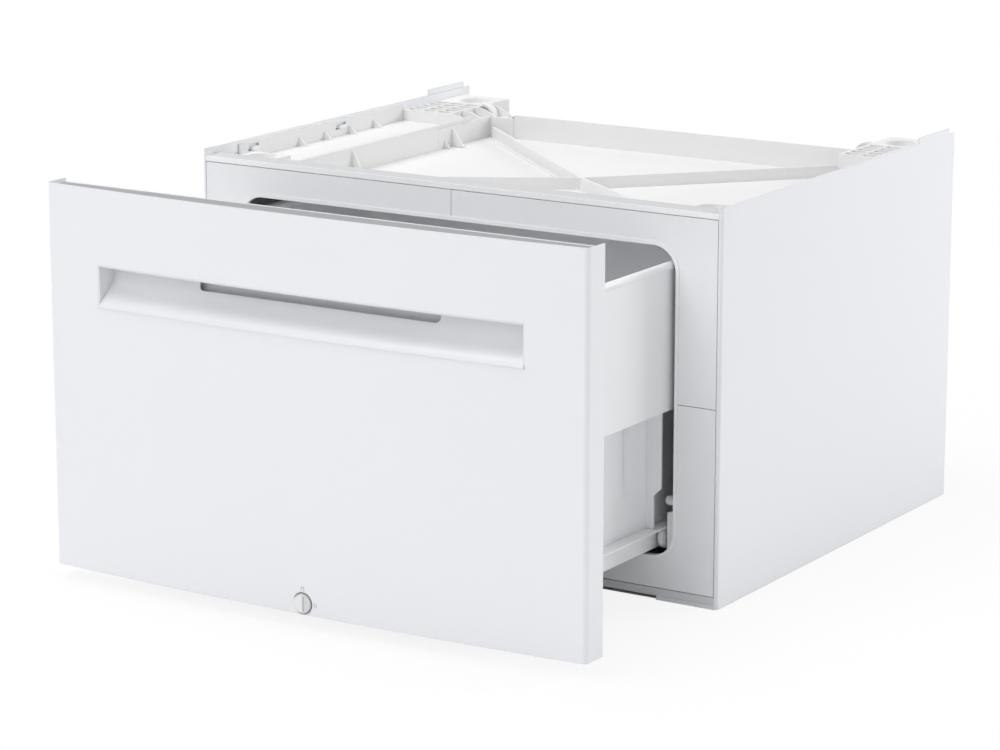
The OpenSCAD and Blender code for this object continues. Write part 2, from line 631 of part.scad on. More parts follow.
module tub_plan(w, d0, d1, r) translate([0, d0]) round_rect(w, d1 - d0, r);
module tub() color("gainsboro") {
  low0 = tub_front;
  low1 = tub_rear - 6;
  difference() {
    union() {
      translate([0, 0, band_z]) linear_extrude(tub_top - bead_r - band_z) tub_plan(band_w, tub_front, tub_rear, tub_r);
      translate([0, 0, tub_floor]) linear_extrude(band_z + tub_t - tub_floor) tub_plan(runner_w, low0, low1, tub_r);
    }
    translate([0, 0, band_z + tub_t]) linear_extrude(tub_top)
      tub_plan(band_w - 2 * tub_t, tub_front + tub_t, tub_rear - tub_t, tub_r - tub_t);
    translate([0, 0, tub_floor + tub_t]) linear_extrude(tub_top)
      tub_plan(runner_w - 2 * tub_t, low0 + tub_t, low1 - tub_t, tub_r - tub_t);
    for (p = tub_screw_spots()) pin_y(tub_front - cut, tub_front + tub_t + cut, p[0], p[1], screw_r + screw_gap);
  }
  rim_bead();
  for (s = [-1, 1]) side(s) {
    for (i = [0:1]) xz(tub_rib_y + i * tub_rib_pitch, tub_rib_y + i * tub_rib_pitch + tub_t)
      polygon([[runner_in, band_z], [runner_in + 16, band_z], [runner_in + 16, band_z - 76],
               [runner_in + 8, band_z - 84], [runner_in + 8, runner_top + gap], [runner_in, runner_top + gap]]);
    for (i = [0:2]) xz(tub_fin_y + i * tub_rib_pitch, tub_fin_y + i * tub_rib_pitch + 2)
      polygon([[runner_in, band_z], [runner_in + 8, band_z], [runner_in + 8, band_z - 72],
               [runner_in, band_z - 78]]);
  }
}
// The round bead along the tub's rim
module rim_bead() {
  z = tub_top - bead_r;
  x = tub_w / 2 - bead_r;
  for (s = [-1, 1]) {
    pin_y(tub_front + tub_r, tub_rear - tub_r, s * x, z, bead_r);
    translate([-tub_w / 2 + tub_r, 0, z]) rotate([0, 90, 0])
      translate([0, s > 0 ? tub_front + bead_r : tub_rear - bead_r, 0]) cylinder(h = tub_w - 2 * tub_r, r = bead_r);
  }
  for (sx = [-1, 1], sy = [-1, 1]) intersection() {
    translate([sx * (tub_w / 2 - tub_r), sy < 0 ? tub_front + tub_r : tub_rear - tub_r, z])
      rotate_extrude() translate([tub_r - bead_r, 0]) circle(r = bead_r);
    translate([sx < 0 ? -tub_w / 2 - cut : tub_w / 2 - tub_r, sy < 0 ? tub_front - cut : tub_rear - tub_r, z - 2 * bead_r])
      cube([tub_r + cut, tub_r + cut, 4 * bead_r]);
  }
}
function tub_screw_spots() = [for (x = [-1, 0, 1], z = [tub_floor, band_z - 10])
  [x * tub_screw_x, z + 50]];

module runner(s) color("silver") side(s) xz(tub_front, tub_rear) {
  translate([runner_in, runner_top - runner_h]) square([runner_t, runner_h]);
  translate([runner_in, runner_under]) square([runner_flange, runner_t]);
}
module front_bracket(s) color("silver") side(s) {
  block([runner_out, tub_front, runner_top - runner_h], [runner_out + bracket_w, tub_front + runner_t, runner_under - 1]);
  block([runner_out, tub_front, runner_top - runner_h], [runner_out + runner_t, tub_front + 12, runner_under - 1]);
}
module drawer_screws() color("silver")
  for (p = tub_screw_spots()) screw_y(tub_front + tub_t, p[0], p[1], tub_t + inner_t);

module lock_housing() color("white") difference() {
  union() {
    pin_y(bow_y - 0.6, bow_y + 6.6, 0, lock_z, knob_r + 1.4);
    pin_y(bow_y + 6.6, front_y - inner_t, 0, lock_z, knob_r - 1);
  }
  pin_y(bow_y - cut, bow_y + 5, 0, lock_z, knob_r + gap);
  pin_y(bow_y, front_y, 0, lock_z, shaft_r + bore_gap);
}
module lock_knob() color("white") {
  pin_y(bow_y - 1.2, bow_y + 4.7, 0, lock_z, knob_r);
  block([-1.6, bow_y - knob_proud, lock_z - knob_r + 1.6], [1.6, bow_y - 1.2, lock_z + knob_r - 1.6]);
}
module lock_shaft() color("silver") difference() {
  pin_y(bow_y + 4.7, cam_y, 0, lock_z, shaft_r);
  pin_y(cam_y - 8, cam_y + cut, 0, lock_z, shaft_r / 2 + screw_gap);
}
module lock_cam() color("silver") xz(cam_y, cam_y + cam_t) difference() {
  union() {
    translate([0, lock_z]) circle(r = 5);
    translate([-cam_l, lock_z - 4]) square([cam_l, 8]);
  }
  translate([0, lock_z]) circle(r = shaft_r / 2 + screw_gap);
}
module lock_cam_screw() color("silver") {
  pin_y(cam_y - 7, cam_y + cam_t, 0, lock_z, shaft_r / 2);
  pin_y(cam_y + cam_t, cam_y + cam_t + head_t, 0, lock_z, shaft_r);
}

// Moves the origin to the middle of the footprint on the floor, with the drawer as drawn
module place() { translate([0, -mid_y, 0]) children(); }

place() side_panel(-1);  // side_panel_left
place() side_panel(1);  // side_panel_right
place() back_panel();
place() top_front_rail();
place() top_rear_rail();
place() bottom_front_rail();
place() bottom_rear_rail();
place() foot_pads();
place() frame_upper(-1);  // frame_upper_left
place() frame_upper(1);  // frame_upper_right
place() frame_lower();
place() opening_bezel();
place() deck_ledge(-1);  // deck_ledge_left
place() deck_ledge(1);  // deck_ledge_right
place() deck_tray();
place() side_channel(-1);  // side_channel_left
place() side_channel(1);  // side_channel_right
place() rear_foot_block(-1);  // rear_foot_block_left
place() rear_foot_block(1);  // rear_foot_block_right
place() front_foot_seat(-1);  // front_foot_seat_left
place() front_foot_seat(1);  // front_foot_seat_right
place() rail_support(-1);  // rail_support_left
place() rail_support(1);  // rail_support_right
place() guide_rail(-1);  // guide_rail_left
place() guide_rail(1);  // guide_rail_right
place() roller_bracket(-1);  // roller_bracket_left
place() roller_bracket(1);  // roller_bracket_right
place() front_roller(-1);  // front_roller_left
place() front_roller(1);  // front_roller_right
place() front_roller_pins();
place() side_guide_pegs();
place() lock_strike();
place() back_screws();
place() bracket_screws();
place() front_skin();
place() front_top_cap();
place() front_inner_panel();
place() handle_recess();
place() tub();
place() runner(-1);  // runner_left
place() runner(1);  // runner_right
place() front_bracket(-1);  // front_bracket_left
place() front_bracket(1);  // front_bracket_right
place() rear_roller(-1);  // rear_roller_left
place() rear_roller(1);  // rear_roller_right
place() rear_roller_pins();
place() drawer_screws();
place() lock_housing();
place() lock_knob();
place() lock_shaft();
place() lock_cam();
place() lock_cam_screw();
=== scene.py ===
import math

import bmesh
import bpy
from mathutils import Matrix, Vector


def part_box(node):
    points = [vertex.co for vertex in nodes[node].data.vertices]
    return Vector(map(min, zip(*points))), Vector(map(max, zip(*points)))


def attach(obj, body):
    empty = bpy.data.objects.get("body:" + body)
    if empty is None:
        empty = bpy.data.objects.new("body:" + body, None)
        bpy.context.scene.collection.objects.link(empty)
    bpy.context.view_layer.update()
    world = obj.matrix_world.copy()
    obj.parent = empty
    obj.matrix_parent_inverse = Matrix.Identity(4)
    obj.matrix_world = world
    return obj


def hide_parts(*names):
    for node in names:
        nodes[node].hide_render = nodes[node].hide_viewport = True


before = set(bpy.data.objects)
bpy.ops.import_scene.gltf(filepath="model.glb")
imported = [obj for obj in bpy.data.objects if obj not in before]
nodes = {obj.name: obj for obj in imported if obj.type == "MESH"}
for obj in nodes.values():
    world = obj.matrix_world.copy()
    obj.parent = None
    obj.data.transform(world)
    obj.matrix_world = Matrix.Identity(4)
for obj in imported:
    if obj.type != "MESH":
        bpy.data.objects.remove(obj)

scene = bpy.context.scene
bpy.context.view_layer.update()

# ---- Camera -------------------------------------------------------------------------------
# A long lens from the front right, a little above the deck, as a catalogue photo is taken.
# Its place is given from the middle of the pedestal's footprint.
camera_down, camera_round = 13.37, 32.315
camera_data = bpy.data.cameras.new("camera")
camera_data.sensor_width = 36
camera_data.lens = 129.4
camera = bpy.data.objects.new("camera", camera_data)
camera.location = (1.867, -2.983, 1.004)
camera.rotation_euler = (math.radians(90 - camera_down), 0, math.radians(camera_round))
scene.collection.objects.link(camera)
scene.camera = camera

# ---- Studio -------------------------------------------------------------------------------
# A white floor that runs into a white room, lit by soft boxes from above, from behind the
# right side and from the front left. The floor shows white, but keeps the pedestal's shadow.
scene.view_settings.view_transform = "Standard"
grain_depth = 0.0002


class Value:
    """A socket of a material that takes part in Python sums."""

    def __init__(self, finish, socket):
        self.finish, self.socket = finish, socket

    def sum(self, operation, first, second):
        return self.finish.node("ShaderNodeMath", {"operation": operation}, {0: first, 1: second})

    def __add__(self, other):
        return self.sum("ADD", self, other)

    def __sub__(self, other):
        return self.sum("SUBTRACT", self, other)

    def __rsub__(self, other):
        return self.sum("SUBTRACT", other, self)

    def __mul__(self, other):
        return self.sum("MULTIPLY", self, other)

    def __gt__(self, other):
        return self.sum("GREATER_THAN", self, other)

    def __lt__(self, other):
        return self.sum("LESS_THAN", self, other)

    def __abs__(self):
        return self.sum("ABSOLUTE", self, 0)

    __radd__, __rmul__ = __add__, __mul__


class Finish:
    """A material: one method adds any node, and the others make what many finishes share."""

    def __init__(self, name):
        self.material = bpy.data.materials.new(name)
        self.material.use_nodes = True
        self.tree = self.material.node_tree
        self.tree.nodes.clear()
        self.output = self.tree.nodes.new("ShaderNodeOutputMaterial")
        self.place = self.node("ShaderNodeTexCoord", {}, {}, "Object")

    def node(self, kind, settings, sockets, out=0):
        made = self.tree.nodes.new(kind)
        for name, setting in settings.items():
            setattr(made, name, setting)
        for name, value in sockets.items():
            if isinstance(value, Value):
                self.tree.links.new(value.socket, made.inputs[name])
            else:
                made.inputs[name].default_value = value
        return Value(self, made.outputs[out])

    def along(self, axis):
        """The place along one axis, where 0 is X, 1 is Y and 2 is Z."""
        return self.node("ShaderNodeSeparateXYZ", {}, {0: self.place}, axis)

    def noise(self, scale, **more):
        return self.node("ShaderNodeTexNoise", {}, {"Vector": self.place, "Scale": scale, **more})

    def rounded(self, radius):
        """A normal that rounds the edges."""
        return self.node("ShaderNodeBevel", {"samples": 4}, {"Radius": radius})

    def relief(self, height, strength, radius):
        """A fine relief on a surface with rounded edges."""
        return self.node("ShaderNodeBump", {}, {
            "Strength": strength, "Distance": grain_depth, "Height": height,
            "Normal": self.rounded(radius)})

    def blend(self, factor, first, second):
        """A colour between two colours."""
        return self.node("ShaderNodeMix", {"data_type": "RGBA"},
                         {0: factor, 6: (*first, 1), 7: (*second, 1)}, 2)

    def surface(self, **sockets):
        plain = {name.replace("_", " "): value for name, value in sockets.items()}
        shader = self.node("ShaderNodeBsdfPrincipled", {}, plain)
        self.tree.links.new(shader.socket, self.output.inputs["Surface"])
        return self.material


room_light, seen_light = 0.50, 1.0
world = bpy.data.worlds.new("studio")
world.use_nodes = True
scene.world = world
sky = world.node_tree.nodes["Background"]
paths = world.node_tree.nodes.new("ShaderNodeLightPath")
seen = world.node_tree.nodes.new("ShaderNodeMath")
seen.operation = "MAXIMUM"
world.node_tree.links.new(paths.outputs["Is Camera Ray"], seen.inputs[0])
world.node_tree.links.new(paths.outputs["Is Transmission Ray"], seen.inputs[1])
level = world.node_tree.nodes.new("ShaderNodeMapRange")
level.inputs["To Min"].default_value = room_light
level.inputs["To Max"].default_value = seen_light
world.node_tree.links.new(seen.outputs[0], level.inputs["Value"])
world.node_tree.links.new(level.outputs["Result"], sky.inputs["Strength"])
sky.inputs["Color"].default_value = (1, 1, 1, 1)

floor_reach = 30
glow_near, glow_far = 0.86, 1.0
fade_from, fade_to = 0.5, 1.1
under_side, under_front, under_rear = 0.296, -0.115, 0.372
floor_mesh = bpy.data.meshes.new("studio_floor")
floor_shape = bmesh.new()
bmesh.ops.create_grid(floor_shape, x_segments=1, y_segments=1, size=floor_reach)
floor_shape.to_mesh(floor_mesh)
floor_shape.free()
floor = bpy.data.objects.new("studio_floor", floor_mesh)
scene.collection.objects.link(floor)
floor_finish = Finish("floor_white")
floor_away = floor_finish.node("ShaderNodeVectorMath", {"operation": "LENGTH"},
                               {0: floor_finish.place}, "Value")
floor_share = floor_finish.node("ShaderNodeMapRange", {}, {
    "Value": floor_away, "From Min": fade_from, "From Max": fade_to,
    "To Min": glow_near, "To Max": glow_far})
floor_x, floor_y = floor_finish.along(0), floor_finish.along(1)
under_cabinet = (abs(floor_x) < under_side) * (floor_y > under_front) * (floor_y < under_rear)
floor_glow = floor_finish.node("ShaderNodeEmission", {}, {"Color": (1, 1, 1, 1), "Strength": 1.0})
floor_matt = floor_finish.node("ShaderNodeBsdfDiffuse", {}, {"Color": (0.9, 0.9, 0.9, 1)})
floor_seen = floor_finish.node("ShaderNodeLightPath", {}, {}, "Is Camera Ray")
floor_mirrored = floor_finish.node("ShaderNodeLightPath", {}, {}, "Is Glossy Ray")
floor_mix = floor_finish.node("ShaderNodeMixShader", {}, {
    0: (floor_seen + floor_mirrored) * floor_share * (1 - under_cabinet),
    1: floor_matt, 2: floor_glow})
floor_finish.tree.links.new(floor_mix.socket, floor_finish.output.inputs["Surface"])
floor_mesh.materials.append(floor_finish.material)

for name, place, target, width, height, power in (
        ("lamp_over_deck", (-0.7, -0.4, 2.7), (0, 0, 0.2), 2.2, 1.8, 42),
        ("lamp_right", (2.3, 2.4, 1.6), (0, 0.1, 0.25), 1.4, 1.4, 42),
        ("lamp_front", (-0.4, -3.2, 2.0), (0, 0, 0.2), 2.4, 1.6, 25)):
    lamp = bpy.data.lights.new(name, "AREA")
    lamp.shape, lamp.size, lamp.size_y, lamp.energy = "RECTANGLE", width, height, power
    held = bpy.data.objects.new(name, lamp)
    held.location = place
    held.rotation_euler = (Vector(target) - Vector(place)).to_track_quat("-Z", "Y").to_euler()
    scene.collection.objects.link(held)

# ---- Side panels and rails ----------------------------------------------------------------
# The cabinet's sides and the rails across its front and rear are sheet steel, folded and then
# powder coated: a satin white with the fine orange peel of baked powder.
soft_edge, fold_edge = 0.0006, 0.0012
peel_scale, peel_strength = 900.0, 0.12


def coated(name, colour, roughness, peel, fold=soft_edge):
    """Baked powder coat: a fine orange peel, cloudy gloss, and edges that catch the light."""
    finish = Finish(name)
    cloud = finish.noise(6.0, Detail=1.0)
    return finish.surface(
        Base_Color=finish.blend(cloud, [c * 0.985 for c in colour], colour),
        Roughness=cloud * 0.08 + (roughness - 0.04),
        Normal=finish.relief(finish.noise(peel_scale, Detail=2.0), peel, fold))


def dress(material, *names):
    """Gives CAD nodes a material."""
    for name in names:
        nodes[name].data.materials.clear()
        nodes[name].data.materials.append(material)


panel_enamel = coated("panel_enamel", (0.87, 0.885, 0.915), 0.34, peel_strength, fold_edge)
rail_enamel = coated("rail_enamel", (0.70, 0.715, 0.735), 0.38, peel_strength)
dress(panel_enamel, "side_panel_left", "side_panel_right")
dress(rail_enamel, "top_rear_rail", "bottom_front_rail", "bottom_rear_rail",
      "deck_ledge_left", "deck_ledge_right")
rail_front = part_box("top_front_rail")[0].y
highlight_width = 0.0012


def rail_painted_highlight():
    """The grey coat of the top rail, with a white strip painted along the rail's front face as a
    painted highlight of its rounded edge.
    """
    finish = Finish("rail_painted_highlight")
    grain = finish.noise(peel_scale, Detail=2.0)
    # The strip on the rail's front face is white as a painted highlight of its rounded edge.
    highlight_strip = finish.along(1) < rail_front + highlight_width
    return finish.surface(Base_Color=finish.blend(highlight_strip, (0.59, 0.605, 0.62), (0.95, 0.955, 0.965)),
                          Roughness=grain * 0.08 + 0.34,
                          Normal=finish.relief(grain, peel_strength, soft_edge))


dress(rail_painted_highlight(), "top_front_rail")

# ---- Back panel and supports --------------------------------------------------------------
# The back panel and the shelves and rails for the rollers are zinc-plated sheet, which is left
# bare where it isn't seen: a bright grey with the faint spangle of the plating.


def plated(name, colour, roughness):
    """Zinc plating: a spangle in the gloss and in the tone."""
    finish = Finish(name)
    spangle = finish.node("ShaderNodeTexVoronoi", {}, {"Vector": finish.place, "Scale": 160.0},
                          "Distance")
    return finish.surface(Base_Color=finish.blend(spangle, colour, [c * 0.86 for c in colour]),
                          Metallic=1.0, Roughness=spangle * 0.25 + roughness,
                          Normal=finish.rounded(soft_edge / 2))


zinc_sheet = plated("zinc_sheet", (0.66, 0.67, 0.69), 0.30)
dress(zinc_sheet, "back_panel", "rail_support_left", "rail_support_right", "guide_rail_left",
      "guide_rail_right", "lock_strike")

# ---- Foot pads ----------------------------------------------------------------------------
# Four slabs of hard grey plastic under the corners keep the steel off the floor. Their skin
# is coarse from the mould.
fine_etch, coarse_etch = 1500.0, 600.0


def moulded(name, colour, roughness, etch, scale=fine_etch):
    """Moulded plastic: an etched grain, a slow drift in gloss and a trace of flow marks."""
    finish = Finish(name)
    flow = finish.noise(9.0, Detail=2.0, Distortion=0.6)
    return finish.surface(
        Base_Color=finish.blend(flow, [c * 0.975 for c in colour], colour),
        Roughness=flow * 0.1 + (roughness - 0.05),
        Normal=finish.relief(finish.noise(scale, Detail=3.0), etch, soft_edge))


pad_plastic = moulded("pad_plastic", (0.90, 0.905, 0.915), 0.55, 0.3, coarse_etch)
dress(pad_plastic, "foot_pads")

# ---- Front frame --------------------------------------------------------------------------
# Three mouldings in a slightly darker grey-white clip into the front of the cabinet. Their
# seams run at the top middle and halfway up both sides.
frame_plastic = moulded("frame_plastic", (0.89, 0.90, 0.92), 0.38, 0.12)
dress(frame_plastic, "frame_upper_left", "frame_upper_right", "frame_lower")

# ---- Bezel --------------------------------------------------------------------------------
# A glossy white ring snaps round the drawer opening and covers the frame's cut edge.
bezel_plastic = moulded("bezel_plastic", (0.93, 0.935, 0.945), 0.28, 0.05)
dress(bezel_plastic, "opening_bezel")

# ---- Deck ---------------------------------------------------------------------------------
# The deck is moulded in plain white: a tray whose floor falls to the middle between two
# diagonal ribs, a channel at each side, two blocks for the machine's rear feet and two seats.
# A low ridge runs beside one of the ribs.
deck_plastic = moulded("deck_plastic", (0.81, 0.81, 0.808), 0.45, 0.15)
dress(deck_plastic, "deck_tray", "side_channel_left", "side_channel_right",
      "rear_foot_block_left", "rear_foot_block_right", "front_foot_seat_left",
      "front_foot_seat_right")


def solid(name, shape, material, body, stands_for=(), sharp=35, place=None):
    """Turns a mesh under construction into a piece of the pedestal."""
    bmesh.ops.recalc_face_normals(shape, faces=shape.faces)
    for edge in shape.edges:
        edge.smooth = len(edge.link_faces) == 2 and edge.calc_face_angle() < math.radians(sharp)
    for face in shape.faces:
        face.smooth = True
    mesh = bpy.data.meshes.new(name)
    shape.to_mesh(mesh)
    shape.free()
    mesh.materials.append(material)
    piece = bpy.data.objects.new(name, mesh)
    scene.collection.objects.link(piece)
    if place is not None:
        piece.matrix_world = place
    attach(piece, body)
    if stands_for:
        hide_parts(*stands_for)
    return piece


def prism(shape, outline, lift):
    """A closed solid between an outline and the same outline moved by lift."""
    low = [shape.verts.new(p) for p in outline]
    high = [shape.verts.new(Vector(p) + Vector(lift)) for p in outline]
    shape.faces.new(low)
    shape.faces.new(high[::-1])
    for i in range(len(low)):
        j = (i + 1) % len(low)
        shape.faces.new((low[i], high[i], high[j], low[j]))


tray_low, tray_high = (Vector(corner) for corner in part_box("deck_tray"))
tray_wall, tray_fall, tray_deep = 0.002, 0.008, 0.0255
tray_middle = (tray_low + tray_high) / 2
tray_half = (tray_high - tray_low) / 2 - Vector((tray_wall, tray_wall, 0))
tray_floor = tray_high.z - tray_deep
ridge_high, ridge_thick, ridge_off, ridge_sunk = 0.0022, 0.0012, 0.0065, 0.0005
ridge_near, ridge_far = 0.02, 0.93
ridge_shape = bmesh.new()
ridge_way = Vector((tray_half.x, -tray_half.y, 0)).normalized()
ridge_side = Vector((ridge_way.y, -ridge_way.x, 0))
ridge_reach = Vector((tray_half.x, tray_half.y)).length
for start, end in ((-ridge_far, -ridge_near), (ridge_near, ridge_far)):
    outline = []
    for share, up in ((start, -ridge_sunk), (end, -ridge_sunk), (end, ridge_high),
                      (start, ridge_high)):
        at = tray_middle + ridge_way * ridge_reach * share + ridge_side * ridge_off
        outline.append((at.x, at.y, tray_floor - tray_fall * (1 - abs(share)) + up))
    prism(ridge_shape, outline, ridge_side * ridge_thick)
solid("tray_ridge", ridge_shape, deck_plastic, "cabinet")

# ---- Rollers and their brackets -----------------------------------------------------------
# A bracket behind each lower corner of the opening carries the front roller and a peg that
# guides the tub. The rear rollers turn on pins in the runners. All are white nylon, and the
# pins are bright steel, as are the lock's shaft and cam.
bracket_nylon = moulded("bracket_nylon", (0.88, 0.885, 0.895), 0.36, 0.08)
roller_nylon = moulded("roller_nylon", (0.80, 0.80, 0.79), 0.25, 0.05)
dress(bracket_nylon, "roller_bracket_left", "roller_bracket_right", "side_guide_pegs")
dress(roller_nylon, "front_roller_left", "front_roller_right", "rear_roller_left",
      "rear_roller_right")
pin_steel = plated("pin_steel", (0.70, 0.71, 0.72), 0.22)
dress(pin_steel, "front_roller_pins", "rear_roller_pins", "lock_shaft", "lock_cam")

# ---- Drawer front -------------------------------------------------------------------------
# The drawer's outer skin is one bowed sheet with folded edges, coated in a slightly glossier
# white than the cabinet. A flat panel closes it behind, and a grey cap strip closes its top.
front_enamel = coated("front_enamel", (0.88, 0.892, 0.92), 0.30, 0.10)
cap_plastic = moulded("cap_plastic", (0.33, 0.335, 0.345), 0.42, 0.15)
dress(front_enamel, "front_skin", "front_inner_panel")
dress(cap_plastic, "front_top_cap")

# ---- Handle recess ------------------------------------------------------------------------
# A moulding behind a window in the skin makes the grip: its back rolls forward into the bowed
# face below, its ends and roof are flat, and a slot lets the fingertips in behind. A small
# grey clip shows high on its back.
recess_low, recess_high = (Vector(corner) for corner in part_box("handle_recess"))
skin_low, skin_high = (Vector(corner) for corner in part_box("front_skin"))
recess_wall = 0.0016
recess_half = recess_high.x - recess_wall
recess_top = recess_high.z - recess_wall
recess_bottom = recess_low.z + recess_wall
recess_back = recess_high.y - recess_wall
recess_roll = 1.8
face_gap = 0.0004
bow = 0.011
bow_radius = ((skin_high.x - skin_low.x) ** 2 / 4 + bow ** 2) / (2 * bow)
slot_half, slot_rise, slot_round = 0.135, 0.0055, 0.005
slot_mid = recess_bottom + 0.0295


def face_y(x):
    """The bowed face of the drawer at a distance from its middle."""
    return skin_low.y + bow_radius - math.sqrt(bow_radius ** 2 - x ** 2)


def recess_point(x, z):
    """The recess's back: upright at its top, then forward in an S until it meets the face."""
    share = ((recess_top - z) / (recess_top - recess_bottom)) ** recess_roll
    forward = 3 * share ** 2 - 2 * share ** 3
    return Vector((x, recess_back + (face_y(x) - recess_back) * forward, z))


def slot_edge(x):
    """Half the slot's height at a distance from its middle, with its rounded ends."""
    past = max(0.0, min(abs(x), slot_half) - (slot_half - slot_round))
    return slot_rise - slot_round + math.sqrt(max(0.0, slot_round ** 2 - past ** 2))


recess_shape = bmesh.new()
half_columns, corner_steps = 40, 6
rows_above, rows_below = 4, 24
recess_xs = sorted(
    {round(-recess_half + i * recess_half / half_columns, 6) for i in range(2 * half_columns + 1)}
    | {round(s * (slot_half - slot_round * (1 - math.sin(a * math.pi / 2 / corner_steps))), 6)
       for s in (-1, 1) for a in range(corner_steps + 1)})
recess_columns = []
for x in recess_xs:
    edge_up, edge_down = slot_mid + slot_edge(x), slot_mid - slot_edge(x)
    heights = [recess_top + (edge_up - recess_top) * i / rows_above
               for i in range(rows_above + 1)]
    heights += [edge_down + (recess_bottom - edge_down) * i / rows_below
                for i in range(rows_below + 1)]
    recess_columns.append([recess_shape.verts.new(recess_point(x, z)) for z in heights])
recess_lip = [recess_shape.verts.new((x, face_y(x) + face_gap, recess_top)) for x in recess_xs]
for c in range(len(recess_xs) - 1):
    left, right = recess_columns[c], recess_columns[c + 1]
    in_slot = max(abs(recess_xs[c]), abs(recess_xs[c + 1])) <= slot_half + 1e-6
    for i in range(len(left) - 1):
        if i != rows_above or not in_slot:
            recess_shape.faces.new((left[i], left[i + 1], right[i + 1], right[i]))
    recess_shape.faces.new((recess_lip[c], left[0], right[0], recess_lip[c + 1]))
for end in (0, -1):
    x, column = recess_xs[end], recess_columns[end]
    rim = [recess_lip[end]]
    rim += [recess_shape.verts.new((x, face_y(x) + face_gap, v.co.z)) for v in column[1:-1]]
    for i in range(len(rim) - 1):
        recess_shape.faces.new((rim[i], rim[i + 1], column[i + 1], column[i]))
    recess_shape.faces.new((rim[-1], column[-1], column[-2]))
recess_enamel = moulded("recess_enamel", (0.85, 0.862, 0.885), 0.30, 0.06)
recess = solid("grip_scoop", recess_shape, recess_enamel, "drawer",
               ("handle_recess",), 30)
recess_thick = recess.modifiers.new("wall", "SOLIDIFY")
recess_thick.thickness, recess_thick.offset = recess_wall * 0.9, -1

clip_shape = bmesh.new()
clip_x, clip_z, clip_half, clip_rise = -0.150, recess_top - 0.0032, 0.0032, 0.0007
clip_proud, clip_thick, clip_steps = 0.0002, 0.0006, 24
clip_y = recess_point(clip_x, clip_z).y - clip_proud
clip_outline = []
for i in range(clip_steps):
    turn = 2 * math.pi * i / clip_steps
    side = clip_half - clip_rise if math.cos(turn) > 0 else clip_rise - clip_half
    clip_outline.append((clip_x + side + clip_rise * math.cos(turn), clip_y,
                         clip_z + clip_rise * math.sin(turn)))
prism(clip_shape, clip_outline, (0, clip_thick, 0))
clip_grey = moulded("clip_grey", (0.22, 0.225, 0.23), 0.5, 0.1)
solid("grip_clip", clip_shape, clip_grey, "drawer")

# ---- Tub ----------------------------------------------------------------------------------
# The drawer's body is one deep moulding: a wide upper band with a round bead along its rim, and
# a narrower lower half that is stiffened by ribs where the runners are screwed on.
tub_plastic = moulded("tub_plastic", (0.88, 0.892, 0.91), 0.36, 0.12)
dress(tub_plastic, "tub")

# ---- Runners ------------------------------------------------------------------------------
# Two bent steel runners carry the tub. They are coated light grey and end in brackets that
# are fixed to the drawer front.
runner_enamel = coated("runner_enamel", (0.92, 0.93, 0.94), 0.36, 0.10)
dress(runner_enamel, "runner_left", "runner_right", "front_bracket_left", "front_bracket_right")

# ---- Lock ---------------------------------------------------------------------------------
# A coin-slot lock sits low in the middle of the face: a moulded cup with a painted shadow round
# its rim, a knob that turns in it, and two small moulded marks beside it that show its two
# positions.
knob_low, knob_high = (Vector(corner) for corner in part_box("lock_knob"))
knob_middle = (knob_low + knob_high) / 2
knob_r = (knob_high.x - knob_low.x) / 2
shadow_gap, shadow_fade, groove_side = 0.0007, 0.0045, 0.0006


def lock_finish(name, plain, shaded, mask):
    """Smooth moulded plastic in two tones, with the second one where the mask is 1."""
    finish = Finish(name)
    x, z = finish.along(0) - knob_middle.x, finish.along(2) - knob_middle.z
    grain = finish.noise(fine_etch)
    return finish.surface(Base_Color=finish.blend(mask(x, z), plain, shaded),
                          Roughness=grain * 0.08 + 0.28,
                          Normal=finish.relief(grain, 0.06, soft_edge / 2))


def painted_step_shadow(x, z):
    """A painted shadow: the dark ring where the step round the cup's rim would shade it, which
    runs out on the left, below the knob's shoulder.
    """
    return ((x * x + z * z > (knob_r + shadow_gap) ** 2)
            * (1 - (x < -shadow_fade) * (z < shadow_fade)))


def raised_half(x, z):
    """The half of the knob to the right of its groove."""
    return x > groove_side


# The cup's dark ring is a painted shadow of the step round its rim.
dress(lock_finish("lock_cup", (0.82, 0.83, 0.85), (0.20, 0.205, 0.21), painted_step_shadow),
      "lock_housing")
dress(lock_finish("lock_plastic", (0.86, 0.87, 0.89), (0.72, 0.73, 0.73), raised_half),
      "lock_knob")
mark_shape = bmesh.new()
mark_width, mark_proud, mark_deep = 0.0006, 0.00012, 0.0005
arch_up, arch_r, arch_leg, arch_steps = 0.0145, 0.0015, 0.0022, 8
bar_spots, bar_half, bar_width = (0.0132, 0.0152), 0.002, mark_width * 0.8


def stroke(points, width):
    """A thin raised line on the face, from flat pieces along its points."""
    for (x0, z0), (x1, z1) in zip(points, points[1:]):
        away = Vector((z0 - z1, x1 - x0)).normalized() * width / 2
        corners = [(x0 + away.x, z0 + away.y), (x0 - away.x, z0 - away.y),
                   (x1 - away.x, z1 - away.y), (x1 + away.x, z1 + away.y)]
        prism(mark_shape, [(x, face_y(x) - mark_proud, z) for x, z in corners],
              (0, mark_deep, 0))


arch_z = knob_middle.z + arch_up
arch = [(-arch_r * math.cos(math.pi * i / arch_steps),
         arch_z + arch_r * math.sin(math.pi * i / arch_steps)) for i in range(arch_steps + 1)]
stroke([(-arch_r, arch_z - arch_leg), *arch, (arch_r, arch_z - arch_leg)], mark_width)
for x in bar_spots:
    stroke([(x, knob_middle.z - bar_half), (x, knob_middle.z + bar_half)], bar_width)
mark_grey = moulded("mark_grey", (0.42, 0.425, 0.435), 0.45, 0.05)
solid("lock_marks", mark_shape, mark_grey, "drawer")

# ---- Screws -------------------------------------------------------------------------------
# Zinc-plated pan-head screws with a cross recess hold the back, the brackets, the tub and the
# lock's cam. Each is turned from one profile; its cross is pressed into the head by a bump and
# painted dark as the shade inside the recess.
head_high, screw_turns, screw_point = 0.002, 24, 0.0004
cross_half, cross_reach, cross_from = 0.0004, 0.0022, 0.0009
same_spot = 1e-6


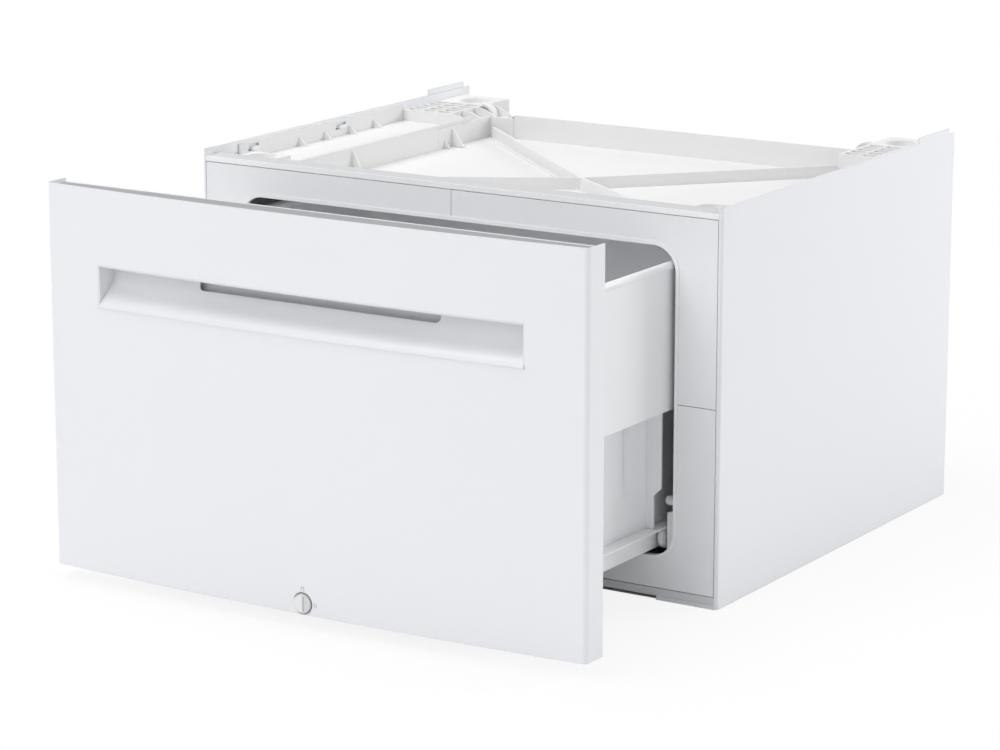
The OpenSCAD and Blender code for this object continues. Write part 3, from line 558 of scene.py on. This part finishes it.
def islands(node):
    """The box of each separate solid in a CAD node, in the place where it lies."""
    shape = bmesh.new()
    shape.from_mesh(nodes[node].data)
    shape.transform(nodes[node].matrix_world)
    bmesh.ops.remove_doubles(shape, verts=shape.verts, dist=same_spot)
    left, found = set(shape.verts), []
    while left:
        group, queue = set(), [left.pop()]
        while queue:
            vertex = queue.pop()
            group.add(vertex)
            for edge in vertex.link_edges:
                other = edge.other_vert(vertex)
                if other in left:
                    left.discard(other)
                    queue.append(other)
        spots = [v.co for v in group]
        found.append((Vector([min(s[i] for s in spots) for i in range(3)]),
                      Vector([max(s[i] for s in spots) for i in range(3)])))
    shape.free()
    return sorted(found, key=lambda box: [round(c, 4) for c in box[0]])


def screw_finish():
    """Zinc plate with a cross pressed in by a bump where the driver fits, painted dark as shade in
    the recess, in the screw's own coordinates.
    """
    finish = Finish("screw_zinc")
    x, y, z = abs(finish.along(0)), abs(finish.along(1)), finish.along(2)
    cross = ((x < cross_half) * (y < cross_reach) + (y < cross_half) * (x < cross_reach) > 0.5)
    cross = cross * (z > cross_from)
    pressed = finish.node("ShaderNodeBump", {"invert": True}, {
        "Strength": 0.6, "Distance": cross_half, "Height": cross})
    # The dark cross is painted shade inside the driver's recess.
    return finish.surface(Base_Color=finish.blend(cross, (0.70, 0.71, 0.72), (0.10, 0.10, 0.11)),
                          Metallic=1.0, Roughness=cross * 0.3 + 0.28, Normal=pressed)


screw_zinc = screw_finish()


def pan_screw(name, seat, way, head_r, shank_r, shank_l, body, node):
    """A screw with its head's underside at seat and its head towards way."""
    profile = [(0, -shank_l), (shank_r * 0.8, -shank_l), (shank_r, screw_point - shank_l),
               (shank_r, 0), (head_r, 0), (head_r, head_high * 0.35),
               (head_r * 0.93, head_high * 0.68), (head_r * 0.72, head_high * 0.9),
               (head_r * 0.4, head_high), (0, head_high)]
    shape = bmesh.new()
    rings = []
    for radius, height in profile:
        angles = [2 * math.pi * i / screw_turns for i in range(screw_turns if radius else 1)]
        rings.append([shape.verts.new((radius * math.cos(a), radius * math.sin(a), height))
                      for a in angles])
    for low, high in zip(rings, rings[1:]):
        for i in range(screw_turns):
            j = (i + 1) % screw_turns
            ring = [low[i % len(low)], low[j % len(low)], high[j % len(high)], high[i % len(high)]]
            shape.faces.new(list(dict.fromkeys(ring)))
    turned = Vector(way).to_track_quat("Z", "Y").to_matrix().to_4x4()
    solid(name, shape, screw_zinc, body, (node,), 40,
          Matrix.Translation(seat) @ turned)


for node, label, way, body in (("back_screws", "back_screw", (0, 1, 0), "cabinet"),
                               ("bracket_screws", "bracket_screw", (0, 0, -1), "cabinet"),
                               ("drawer_screws", "drawer_screw", (0, 1, 0), "drawer"),
                               ("lock_cam_screw", "cam_screw", (0, 1, 0), "lock")):
    along = 1 if way[1] else 2
    for number, (low, high) in enumerate(islands(node), 1):
        head = (high.x - low.x) / 2
        seat = (low + high) / 2
        seat[along] = high[along] - head_high if way[along] > 0 else low[along] + head_high
        pan_screw(f"{label}_{number}", seat, way, head, head / 2,
                  (high - low)[along] - head_high, body, node)
